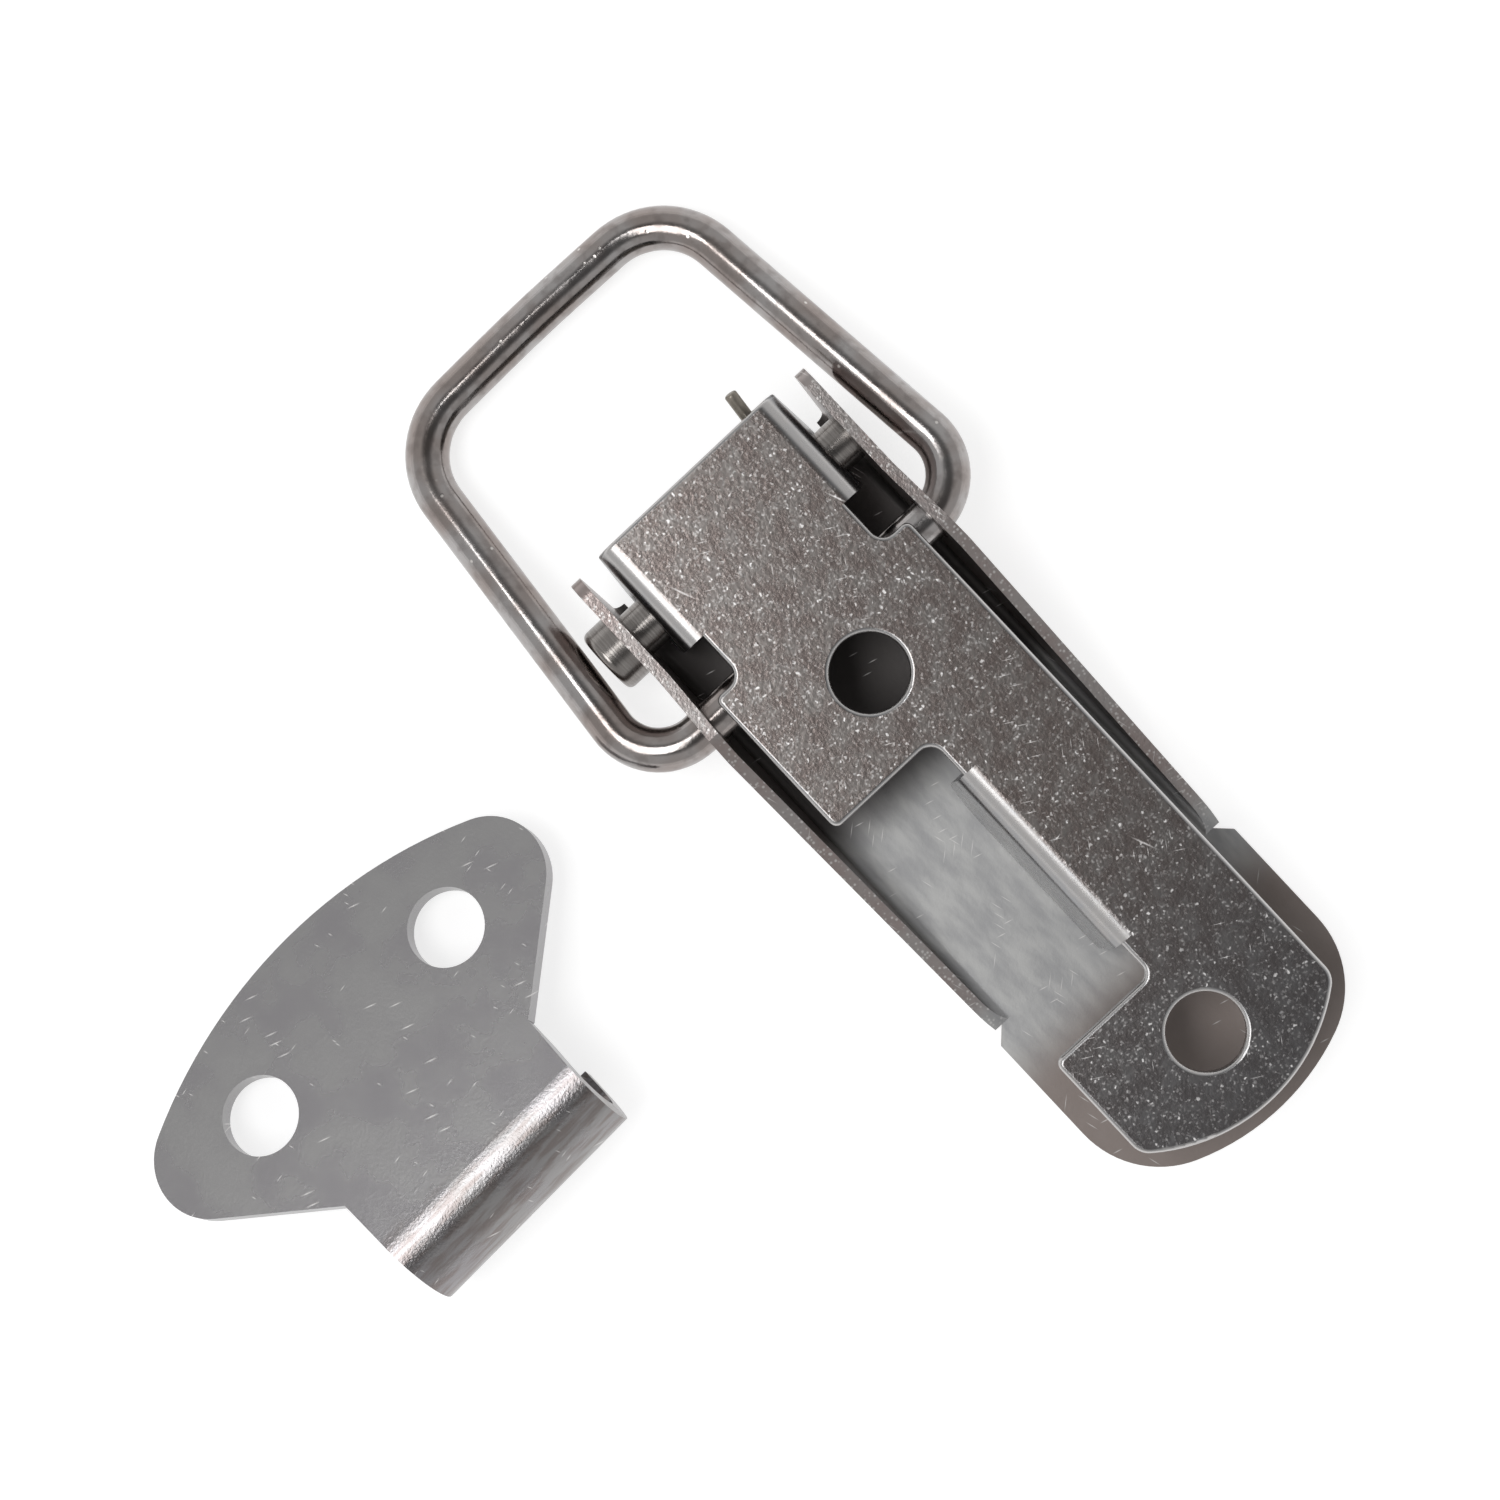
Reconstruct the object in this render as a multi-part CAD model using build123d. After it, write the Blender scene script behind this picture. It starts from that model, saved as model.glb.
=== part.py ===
from build123d import *
from math import asin, atan, atan2, cos, degrees, hypot, pi, radians, sin, tan
import os

# Over centre toggle latch in plated pressed steel, with its separate catch plate.
# It lies as it comes to rest when it is put down unfixed: on the back of its lever, mounting face up.
# Origin: midway between the two screw holes, on the mounting face. X runs along the latch from the
# wire bail (-X) to the tip of the lever (+X), Y across it, and Z out of the mounting face.

# ---- Driving dimensions, in millimetres and degrees ----

# Base plate
BASE_SHEET = 1.0             # sheet thickness
HOLE_SPACING = 32.1          # between the two screw holes
HOLE_D = 5.3                 # screw holes
BASE_WIDTH = 17.2            # wide part behind the ears
EAR_INSET = 0.85             # side of the wide part to the outside of an ear, where it leaves the plate
EAR_SPLAY = 4.0              # lean of each ear outwards
EAR_END_R = 3.0              # rounded end of an ear, round the rivet
EAR_BEND_R = 0.5             # inside radius of the ears' fold
FRONT_TO_PIVOT = 5.3         # front edge of the plate to the rivet's axis
PIVOT_TO_EAR_REAR = 3.2      # rivet's axis to the rear edge of an ear
NOTCH_LENGTH = 3.6           # relief between an ear and the wide part of the plate
NOTCH_CORNER_R = 1.0
WIDE_CORNER_R = 0.5          # outer corners of the wide part, beside the reliefs
PIVOT_TO_HOLE = 12.4         # rivet's axis to the first screw hole
HOLE_TO_CORNER = 2.9         # second screw hole to where the sides end
HOLE_TO_TIP = 6.2            # second screw hole to the tip of the plate
BASE_CORNER_R = 1.5          # where the sides meet the curved end
EDGE_ROLL = 0.3              # rounded edge that the press leaves all round the mounting face

# Window in the base plate and the flap folded down beside it
WINDOW_START = 6.0           # first screw hole to the window
WINDOW_TO_HOLE = 5.2         # window to the second screw hole
WINDOW_EDGE = -0.1           # inner edge of the window, as a Y coordinate
WINDOW_FRONT_R = 1.0
WINDOW_REAR_R = 0.8
WINDOW_MOUTH_R = 0.6         # corners where the window runs out of the side
FLAP_INSET = 3.1             # front end of the window to the flap
FLAP_REAR_INSET = 2.75       # flap to the rear end of the window
FLAP_FOLD = 0.9              # where the flap's fold starts, as a Y coordinate
FLAP_BEND_R = 0.6            # inside radius of its fold
FLAP_LEAN = 6.0              # how far it stays short of square
FLAP_FRONT_R = 3.6           # corners of its free edge
FLAP_REAR_R = 0.8
FLAP_STOP_GAP = 0.2          # free edge of the flap to the lever, closed

# Lever
LEVER_SHEET = 0.8
LEVER_SIDE_GAP = 1.0         # side of the base plate to the foot of each side wall
NOSE_SPLAY = 0.4             # lean of each wall outwards at the front, where the rivet holds it
WALL_SPLAY = 2.7             # the same behind the bail, where it stands free
SPLAY_START = 3.4            # rivet's axis to where the lean starts to grow
SPLAY_END = 10.4             # rivet's axis to where it has grown
LEVER_EAR_GAP = 0.6          # end of an ear to the level of the lever's back
LEVER_BEND_R = 0.7           # inside radius of the walls' folds
WALL_DROP = 0.5              # mounting face to the free edges of the walls
PIVOT_DEPTH = 5.4            # mounting face to the rivet's axis
NOSE_REACH = 5.15            # rivet's axis to the front of the noses
NOSE_R = 1.5                 # rounded corner at the top of a nose
NOSE_SETBACK = 3.2           # how much further back the foot of a nose is
WALL_LEVEL = 8.5             # rivet's axis to where the free edge starts to fall
WALL_TO_TIP = 16.9           # where the walls have run out to the very tip
BACK_FRONT = 1.5             # rivet's axis to the front edge of the back, between the noses
BACK_CORNER_R = 1.2
TIP_PROUD = 0.35             # how far the flat tip stands out past the foot of each wall
TIP_PAST_BASE = 2.1          # tip of the base plate to the very tip
TIP_ARC = 3.8                # end of the tip's straight sides to the very tip
TIP_CORNER_R = 7.0

# Rivet
RIVET_D = 3.4
RIVET_HEAD_D = 4.8
RIVET_HEAD_H = 2.0
RIVET_EDGE_R = 0.5
RIVET_PLAY = 0.05            # radial clearance in the ears

# Wire bail
WIRE_D = 3.0
WIRE_PLAY = 0.25             # radial clearance in the walls
BAIL_AHEAD = 7.7             # rivet's axis to the bail's, along the latch
BAIL_DEPTH = 3.4             # mounting face to the bail's axis
BAIL_REACH = 28.6            # bail's axis to the middle of the far wire
BAIL_HEAD_GAP = 0.8          # rivet's head to the wire, at the width that it has at the bail's axis
BAIL_ASIDE = 0.6             # how far it lies pushed over, in its play, towards the rivet's head
BAIL_TAPER = 2.7             # how much nearer the middle each arm is at its far end
BAIL_NEAR_R = 4.0            # bends next to the lever, on the wire's centre line
BAIL_FAR_R = 5.4             # bends at the far end
BAIL_BOW = 0.3               # how far the far wire bows outwards
BAIL_BOW_R = 120.0
BAIL_END_LENGTH = 5.6        # how far each in-turned end stands in past the wall
BAIL_END_EDGE = 0.3          # chamfer on those ends

# Torsion spring
SPRING_WIRE = 0.9
SPRING_PLAY = 0.2            # coil to rivet, radially
SPRING_TURNS = 7             # whole turns
SPRING_FLAT_COUNT = 8        # round the wire
SPRING_EAR_GAP = 0.7         # front leg to the ear beside it, and the coil's other end to the other ear
SPRING_LEG_OUT = 1.8         # how far the front leg stands past the plate
SPRING_LEG_GAP = 0.05        # each leg to the piece that it presses on
SPRING_REAR_PAST = 1.2       # how far the rear leg runs past the bail's axis

# Catch plate
CATCH_SHEET = 1.4
CATCH_WIDTH = 34.8           # over both lobes
CATCH_HOLE_SPACING = 17.8
CATCH_HOLE_D = 5.5
CATCH_HOLE_TO_ARC = 7.65     # line of the holes to the middle of the long curved edge
CATCH_CURVE_R = 34.5         # that edge
CATCH_LOBE_R = 4.2           # rounded ends of it
CATCH_WAIST = 8.75           # line of the holes to the corners where the tab starts
CATCH_TAB_WIDTH = 17.4       # where it starts
CATCH_TAB_TAPER = 0.3        # how much nearer the middle each side is at the hook
CATCH_TAB_REACH = 17.0       # line of the holes to the far side of the hook
HOOK_BEND_R = 2.7            # inside radius of the hook
HOOK_LIP = 1.0               # straight lip after the curl
HOOK_TAPER = 0.5             # how much nearer the middle again each side is at the lip
CATCH_X = -22.6              # middle between its holes, as it lies beside the latch
CATCH_Y = -41.25
CATCH_TURN = 2.3             # small turn in plan, as it was put down

# ---- Places that follow from them ----

EAR_SPAN = BASE_WIDTH - 2 * EAR_INSET
LEVER_WIDTH = BASE_WIDTH + 2 * (LEVER_SIDE_GAP + LEVER_SHEET)
LEVER_DEPTH = PIVOT_DEPTH + EAR_END_R + LEVER_EAR_GAP + LEVER_SHEET
RIVET_END_Y = LEVER_WIDTH / 2 + (LEVER_DEPTH - PIVOT_DEPTH) * tan(radians(NOSE_SPLAY))  # flush in a wall
RIVET_SEAT_Y = RIVET_END_Y + RIVET_HEAD_D / 2 * tan(radians(NOSE_SPLAY))                # under its head
PIVOT_X = -HOLE_SPACING / 2 - PIVOT_TO_HOLE
PIVOT_Z = -PIVOT_DEPTH
BAIL_X = PIVOT_X + BAIL_AHEAD
BAIL_Z = -BAIL_DEPTH
FLOOR_Z = -LEVER_DEPTH                       # what the latch lies on
BACK_Z = FLOOR_Z + LEVER_SHEET               # inner face of the lever's back
BASE_FRONT_X = PIVOT_X - FRONT_TO_PIVOT
EAR_REAR_X = PIVOT_X + PIVOT_TO_EAR_REAR
EAR_FOLD_Y = EAR_SPAN / 2 - (EAR_BEND_R + BASE_SHEET) * tan(radians(90 - EAR_SPLAY) / 2)  # where it starts
WIDE_X = EAR_REAR_X + NOTCH_LENGTH
WINDOW_X = -HOLE_SPACING / 2 + WINDOW_START
WINDOW_LENGTH = HOLE_SPACING - WINDOW_START - WINDOW_TO_HOLE
FLAP_X = WINDOW_X + FLAP_INSET
FLAP_LENGTH = WINDOW_LENGTH - FLAP_INSET - FLAP_REAR_INSET
BASE_TIP_X = HOLE_SPACING / 2 + HOLE_TO_TIP
LEVER_TIP_X = BASE_TIP_X + TIP_PAST_BASE
WALL_END_X = LEVER_TIP_X - WALL_TO_TIP
BAIL_SIDE_Y = RIVET_SEAT_Y + RIVET_HEAD_H + BAIL_HEAD_GAP + WIRE_D / 2    # wire's centre, at its axis
BAIL_END_Y = LEVER_WIDTH / 2 - LEVER_SHEET - BAIL_END_LENGTH
SPRING_Y = EAR_SPAN / 2 - BASE_SHEET - SPRING_EAR_GAP - SPRING_WIRE / 2      # middle of its front leg
COIL_R = RIVET_D / 2 + SPRING_PLAY + SPRING_WIRE / 2


def bent_section(skin, thickness, inside_radius):
    """Face between a folded line and the same line `thickness` to its left, with every fold rounded."""
    steps = [(b[0] - a[0], b[1] - a[1]) for a, b in zip(skin, skin[1:])]
    headings = [atan2(dy, dx) for dx, dy in steps]
    turns = [(b - a + pi) % (2 * pi) - pi for a, b in zip(headings, headings[1:])]
    leans = [headings[0], *[h + t / 2 for h, t in zip(headings, turns)], headings[-1]]
    stretch = [1, *[1 / cos(t / 2) for t in turns], 1]
    other = [
        (x - thickness * s * sin(h), y + thickness * s * cos(h))
        for (x, y), h, s in zip(skin, leans, stretch)
    ]
    outside_radius = inside_radius + thickness
    near = [outside_radius if t > 0 else inside_radius for t in turns]
    far = [inside_radius if t > 0 else outside_radius for t in turns]
    outline = [
        FilletPolyline(*skin, radius=near),
        Line(skin[-1], other[-1]),
        FilletPolyline(*reversed(other), radius=far[::-1]),
        Line(other[0], skin[0]),
    ]
    return make_face(outline)


def cross_plane(x):
    """Plane across the latch, for faces drawn in (Y, Z)."""
    return Plane(origin=(x, 0, 0), x_dir=(0, 1, 0), z_dir=(1, 0, 0))


def cross_section(face, x_start, length):
    """Solid from a face drawn in (Y, Z), run along X."""
    return extrude(cross_plane(x_start) * face, length)


def side_profile(face, width):
    """Solid from a face drawn in (X, Z), run across the latch to both sides."""
    plane = Plane(origin=(0, 0, 0), x_dir=(1, 0, 0), z_dir=(0, -1, 0))
    return extrude(plane * face, width / 2, both=True)


def pin_hole(x, z, radius, width):
    """Cylinder across the latch, for drilling."""
    return Pos(x, 0, z) * Rot(90, 0, 0) * Cylinder(radius, width)


def nearest_corner(shape, x, y):
    return shape.vertices().sort_by_distance((x, y, 0))[0]


def ear_outline():
    """Side view of an ear and of the plate above it: a hull from the plate down to the rounded end."""
    under_side = Line((BASE_FRONT_X, -BASE_SHEET), (EAR_REAR_X, -BASE_SHEET))
    ear = make_hull([*(Pos(PIVOT_X, PIVOT_Z) * Circle(EAR_END_R)).edges(), under_side])
    length = EAR_REAR_X - BASE_FRONT_X
    plate = Pos(BASE_FRONT_X, 0) * Rectangle(length, BASE_SHEET, align=(Align.MIN, Align.MAX))
    return ear + plate


def folded_front():
    """Front of the base plate: both ears and the flat between them."""
    ear_depth = PIVOT_DEPTH + EAR_END_R
    foot = EAR_SPAN / 2 + ear_depth * tan(radians(EAR_SPLAY))
    skin = [(foot, -ear_depth), (EAR_SPAN / 2, 0), (-EAR_SPAN / 2, 0), (-foot, -ear_depth)]
    section = bent_section(skin, BASE_SHEET, EAR_BEND_R)
    front = cross_section(section, BASE_FRONT_X, EAR_REAR_X - BASE_FRONT_X)
    front &= side_profile(ear_outline(), 2 * foot)
    front_edge = front.edges().group_by(Axis.X)[0].filter_by(Axis.Y).sort_by(Axis.Z)[-1]
    front = fillet(front_edge, EDGE_ROLL)
    return front - pin_hole(PIVOT_X, PIVOT_Z, RIVET_D / 2 + RIVET_PLAY, LEVER_WIDTH)


def rear_plan():
    """Plan of the flat behind the ears: a neck as wide as the flat between them, then the wide part with
    the screw holes, the window and the flap's place."""
    side = BASE_WIDTH / 2
    corner_x = HOLE_SPACING / 2 + HOLE_TO_CORNER
    outline = Polyline(
        (corner_x, side),
        (WIDE_X, side),
        (WIDE_X, EAR_FOLD_Y),
        (EAR_REAR_X, EAR_FOLD_Y),
        (EAR_REAR_X, -EAR_FOLD_Y),
        (WIDE_X, -EAR_FOLD_Y),
        (WIDE_X, -side),
        (corner_x, -side),
    )
    end = ThreePointArc((corner_x, -side), (BASE_TIP_X, 0), (corner_x, side))
    plan = make_face([outline, end])
    for x, y, radius in (
        (corner_x, side, BASE_CORNER_R),
        (WIDE_X, side, WIDE_CORNER_R),
        (WIDE_X, EAR_FOLD_Y, NOTCH_CORNER_R),
    ):
        plan = fillet([nearest_corner(plan, x, y), nearest_corner(plan, x, -y)], radius)
    for x in (-HOLE_SPACING / 2, HOLE_SPACING / 2):
        plan -= Pos(x, 0) * Circle(HOLE_D / 2)
    open_side = (Align.MIN, Align.MAX)
    window = Pos(WINDOW_X, WINDOW_EDGE) * Rectangle(WINDOW_LENGTH, BASE_WIDTH, align=open_side)
    window = fillet(nearest_corner(window, WINDOW_X, WINDOW_EDGE), WINDOW_FRONT_R)
    rear_corner = nearest_corner(window, WINDOW_X + WINDOW_LENGTH, WINDOW_EDGE)
    window = fillet(rear_corner, WINDOW_REAR_R)
    flap_place = Pos(FLAP_X, FLAP_FOLD) * Rectangle(FLAP_LENGTH, BASE_WIDTH, align=open_side)
    plan -= window + flap_place
    mouth = [nearest_corner(plan, x, -side) for x in (WINDOW_X, WINDOW_X + WINDOW_LENGTH)]
    return fillet(mouth, WINDOW_MOUTH_R)


def flat_rear():
    """Flat behind the ears, its edges rolled over except where the ears and the flap carry on from it."""
    solid = extrude(rear_plan(), -BASE_SHEET)

    def rolls_over(edge):
        x, y, _ = edge.center()
        beside_flap = FLAP_X - EDGE_ROLL < x < FLAP_X + FLAP_LENGTH + EDGE_ROLL
        return x > EAR_REAR_X + EDGE_ROLL and not (beside_flap and WINDOW_EDGE < y <= FLAP_FOLD)

    return fillet(solid.faces().sort_by(Axis.Z)[-1].edges().filter_by(rolls_over), EDGE_ROLL)


def flap():
    """The window's metal, folded down into the lever as the stop that keeps it parallel when shut."""
    depth = -BACK_Z - FLAP_STOP_GAP - BASE_SHEET * sin(radians(FLAP_LEAN))
    heel = FLAP_FOLD - (FLAP_BEND_R + BASE_SHEET) * tan(radians(90 - FLAP_LEAN) / 2)
    foot = heel - depth * tan(radians(FLAP_LEAN))
    root = FLAP_FOLD + BASE_SHEET
    section = bent_section([(root, 0), (heel, 0), (foot, -depth)], BASE_SHEET, FLAP_BEND_R)
    solid = cross_section(section, FLAP_X, FLAP_LENGTH)

    def crosses_sheet(edge):
        return edge.length < 2 * BASE_SHEET and edge.center().Z < -depth / 2

    for end, radius in ((0, FLAP_FRONT_R), (-1, FLAP_REAR_R)):
        corner = solid.edges().filter_by(crosses_sheet).sort_by(Axis.X)[end]
        solid = fillet(corner, radius)
    return solid


def base_plate():
    return folded_front() + flat_rear() + flap()


def lever_walls():
    """Side view of the walls: rounded noses that lean back, a level free edge, then a long fall."""
    nose_x = PIVOT_X - NOSE_REACH
    foot_x = nose_x + NOSE_SETBACK
    outline = Polyline(
        (foot_x, FLOOR_Z),
        (nose_x, -WALL_DROP - NOSE_R),
        (nose_x, -WALL_DROP),
        (PIVOT_X + WALL_LEVEL, -WALL_DROP),
        (WALL_END_X, BACK_Z),
        (WALL_END_X, FLOOR_Z),
        close=True,
    )
    face = make_face(outline)
    return fillet(nearest_corner(face, nose_x, -WALL_DROP), NOSE_R)


def channel_section(splay):
    foot = LEVER_WIDTH / 2
    top = foot + (LEVER_DEPTH - WALL_DROP) * tan(radians(splay))
    skin = [(-top, -WALL_DROP), (-foot, FLOOR_Z), (foot, FLOOR_Z), (top, -WALL_DROP)]
    return bent_section(skin, LEVER_SHEET, LEVER_BEND_R)


def lever_channel():
    """Channel whose walls, nearly upright where the rivet holds them, lean out further behind."""
    nose_x = PIVOT_X - NOSE_REACH
    start, end = PIVOT_X + SPLAY_START, PIVOT_X + SPLAY_END
    front, rear = channel_section(NOSE_SPLAY), channel_section(WALL_SPLAY)
    growing = loft([cross_plane(start) * front, cross_plane(end) * rear], ruled=True)
    channel = cross_section(front, nose_x, start - nose_x) + growing
    channel += cross_section(rear, end, WALL_END_X - end)
    channel &= side_profile(lever_walls(), 2 * LEVER_WIDTH)
    channel -= pin_hole(PIVOT_X, PIVOT_Z, RIVET_D / 2, 2 * LEVER_WIDTH)
    channel -= pin_hole(BAIL_X, BAIL_Z, WIRE_D / 2 + WIRE_PLAY, 2 * LEVER_WIDTH)
    mouth_width = LEVER_WIDTH - 2 * (LEVER_SHEET + LEVER_BEND_R)
    mouth_end = PIVOT_X + BACK_FRONT
    mouth = Pos(mouth_end, 0) * Rectangle(2 * NOSE_REACH, mouth_width, align=(Align.MAX, Align.CENTER))
    inner = [nearest_corner(mouth, mouth_end, y) for y in (mouth_width / 2, -mouth_width / 2)]
    mouth = fillet(inner, BACK_CORNER_R)
    return channel - Pos(0, 0, FLOOR_Z) * extrude(mouth, LEVER_SHEET)


def lever():
    """Channel with side walls, and the flat rounded tip that the finger lifts."""
    straight_x = LEVER_TIP_X - TIP_ARC
    side = LEVER_WIDTH / 2 + TIP_PROUD
    step = TIP_PROUD + LEVER_BEND_R
    sides = Polyline(
        (straight_x, side),
        (WALL_END_X + step, side),
        (WALL_END_X, side - step),
        (WALL_END_X, step - side),
        (WALL_END_X + step, -side),
        (straight_x, -side),
    )
    end = ThreePointArc((straight_x, -side), (LEVER_TIP_X, 0), (straight_x, side))
    plan = make_face([sides, end])
    plan = fillet([nearest_corner(plan, straight_x, y) for y in (side, -side)], TIP_CORNER_R)
    return lever_channel() + Pos(0, 0, FLOOR_Z) * extrude(plan, LEVER_SHEET)


def pivot_rivet():
    """Shank through walls and ears, flush in one wall, with a rounded head outside the other."""
    on_end = (Align.CENTER, Align.CENTER, Align.MIN)
    shank = Pos(0, 0, -RIVET_END_Y) * Cylinder(RIVET_D / 2, RIVET_END_Y + RIVET_SEAT_Y, align=on_end)
    head = Pos(0, 0, RIVET_SEAT_Y) * Cylinder(RIVET_HEAD_D / 2, RIVET_HEAD_H, align=on_end)
    head = fillet(head.faces().sort_by(Axis.Z)[-1].edges(), RIVET_EDGE_R)
    return Pos(PIVOT_X, 0, PIVOT_Z) * Rot(90, 0, 0) * (shank + head)


def wire_bail():
    """One wire: far side slightly bowed, arms spreading towards the lever, ends turned in through it."""
    near, far = BAIL_SIDE_Y, BAIL_SIDE_Y - BAIL_TAPER
    corner = BAIL_REACH - BAIL_BOW
    route = [(0, -BAIL_END_Y), (0, -near), (-corner, -far), (-BAIL_REACH, 0)]
    route += [(-corner, far), (0, near), (0, BAIL_END_Y)]
    bends = [BAIL_NEAR_R, BAIL_FAR_R, BAIL_BOW_R, BAIL_FAR_R, BAIL_NEAR_R]
    path = FilletPolyline(*route, radius=bends)
    start = Plane(origin=(0, -BAIL_END_Y, 0), z_dir=(0, -1, 0))
    wire = sweep(start * Circle(WIRE_D / 2), path=path)
    ends = wire.faces().filter_by(Axis.Y)
    wire = chamfer(ends.edges(), BAIL_END_EDGE)
    rest_angle = degrees(asin((BAIL_Z - FLOOR_Z - WIRE_D / 2) / BAIL_REACH))
    return Pos(BAIL_X, -BAIL_ASIDE, BAIL_Z) * Rot(0, -rest_angle, 0) * wire


def lever_spring():
    """Torsion spring: front leg under the base plate, coil on the rivet, rear leg under the bail's end.

    Drawn looking along the rivet, x along the latch and y up, with the coil winding towards -Y. The
    wire has flats, which keep so many turns light.
    """
    plate_edge = (-FRONT_TO_PIVOT, PIVOT_DEPTH - BASE_SHEET)
    bail = (BAIL_AHEAD, PIVOT_DEPTH - BAIL_DEPTH)
    off_edge = SPRING_WIRE / 2 + SPRING_LEG_GAP
    off_bail = off_edge + WIRE_D / 2
    start = atan2(plate_edge[1], plate_edge[0]) + asin((COIL_R + off_edge) / hypot(*plate_edge)) - pi / 2
    finish = atan2(bail[1], bail[0]) - asin((COIL_R + off_bail) / hypot(*bail)) + pi / 2
    to_edge = (hypot(*plate_edge) ** 2 - (COIL_R + off_edge) ** 2) ** 0.5
    to_bail = (hypot(*bail) ** 2 - (COIL_R + off_bail) ** 2) ** 0.5
    around = COIL_R * (2 * pi * SPRING_TURNS + start - finish)
    climb = 2 * SPRING_Y / (to_edge + around + to_bail)
    slope = atan(climb)

    def wire_at(angle, z):
        """Wire's section where it leaves the coil, facing the way that the coil winds."""
        ahead = (sin(angle) * cos(slope), -cos(angle) * cos(slope), sin(slope))
        place = Plane(origin=(COIL_R * cos(angle), COIL_R * sin(angle), z), z_dir=ahead)
        return place * RegularPolygon(SPRING_WIRE / 2, SPRING_FLAT_COUNT)

    first = wire_at(start, to_edge * climb)
    last = wire_at(finish, (to_edge + around) * climb)
    helix = Helix(2 * pi * COIL_R * climb, around * climb, COIL_R, lefthand=True)
    helix = Pos(0, 0, to_edge * climb) * Rot(0, 0, degrees(start)) * helix
    coil = sweep(first, path=helix, is_frenet=True)
    front_leg = extrude(first, -(to_edge + SPRING_LEG_OUT) / cos(slope))
    rear_leg = extrude(last, (to_bail + SPRING_REAR_PAST) / cos(slope))
    side_view = Plane(origin=(PIVOT_X, SPRING_Y, PIVOT_Z), x_dir=(1, 0, 0), z_dir=(0, -1, 0))
    return side_view * (front_leg + coil + rear_leg)


def catch_outline():
    """Plan of the flat: two rounded lobes under one long curve, narrowing to the tab."""
    curve_centre = CATCH_CURVE_R - CATCH_HOLE_TO_ARC
    lobe_y = CATCH_WIDTH / 2 - CATCH_LOBE_R
    lobe_x = curve_centre - ((CATCH_CURVE_R - CATCH_LOBE_R) ** 2 - lobe_y**2) ** 0.5
    swing = asin(lobe_y / (CATCH_CURVE_R - CATCH_LOBE_R))
    reach_x, reach_y = CATCH_CURVE_R * cos(swing), CATCH_CURVE_R * sin(swing)
    curve = ThreePointArc(
        (curve_centre - reach_x, -reach_y), (-CATCH_HOLE_TO_ARC, 0), (curve_centre - reach_x, reach_y)
    )
    waist = Line((CATCH_WAIST, -CATCH_TAB_WIDTH / 2), (CATCH_WAIST, CATCH_TAB_WIDTH / 2))
    lobes = [(Pos(lobe_x, y) * Circle(CATCH_LOBE_R)).edge() for y in (lobe_y, -lobe_y)]
    return make_hull([curve, waist, *lobes])


def catch_plate():
    """Flat with two screw holes, and a tab curled over into the hook that the bail pulls on.

    Drawn with its mounting face up at Z = 0 and its hook towards +X, then laid on the hook's lip and
    on the middle of the long curve.
    """
    curl_r = HOOK_BEND_R + CATCH_SHEET
    curl_x = CATCH_TAB_REACH - curl_r
    lip_x = curl_x - HOOK_LIP
    lip_z = -2 * curl_r
    outline = [
        Line((0, 0), (curl_x, 0)),
        ThreePointArc((curl_x, 0), (CATCH_TAB_REACH, -curl_r), (curl_x, lip_z)),
        Polyline(
            (curl_x, lip_z), (lip_x, lip_z), (lip_x, lip_z + CATCH_SHEET), (curl_x, lip_z + CATCH_SHEET)
        ),
        ThreePointArc(
            (curl_x, lip_z + CATCH_SHEET),
            (CATCH_TAB_REACH - CATCH_SHEET, -curl_r),
            (curl_x, -CATCH_SHEET),
        ),
        Polyline((curl_x, -CATCH_SHEET), (0, -CATCH_SHEET), (0, 0)),
    ]
    tab_side = CATCH_TAB_WIDTH / 2
    hook_side = tab_side - CATCH_TAB_TAPER
    tab = Polyline(
        (0, tab_side),
        (CATCH_WAIST, tab_side),
        (CATCH_TAB_REACH, hook_side),
        (CATCH_TAB_REACH, -hook_side),
        (CATCH_WAIST, -tab_side),
        (0, -tab_side),
        close=True,
    )
    hook = side_profile(make_face(outline), CATCH_TAB_WIDTH) & extrude(make_face(tab), lip_z)
    lip_side = tab_side - HOOK_TAPER
    sides = Polyline((tab_side, 0), (lip_side, lip_z), (-lip_side, lip_z), (-tab_side, 0), close=True)
    hook &= cross_section(make_face(sides), 0, CATCH_TAB_REACH)
    plate = extrude(catch_outline(), -CATCH_SHEET) + hook
    for y in (CATCH_HOLE_SPACING / 2, -CATCH_HOLE_SPACING / 2):
        plate -= Pos(0, y, 0) * Cylinder(CATCH_HOLE_D / 2, 3 * CATCH_SHEET)
    tilt = atan2(2 * curl_r - CATCH_SHEET, lip_x + CATCH_HOLE_TO_ARC)
    rise = CATCH_HOLE_TO_ARC * sin(tilt) + CATCH_SHEET * cos(tilt)
    place = Pos(CATCH_X, CATCH_Y, FLOOR_Z + rise)
    return place * Rot(0, 0, CATCH_TURN) * Rot(0, -degrees(tilt), 0) * plate


os.makedirs("parts", exist_ok=True)
for make in (base_plate, lever, pivot_rivet, wire_bail, lever_spring, catch_plate):
    export_step(make(), f"parts/{make.__name__}.step")
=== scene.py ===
from math import cos, pi, radians, sin

import bpy
import numpy as np
from mathutils import Matrix, Vector


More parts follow.
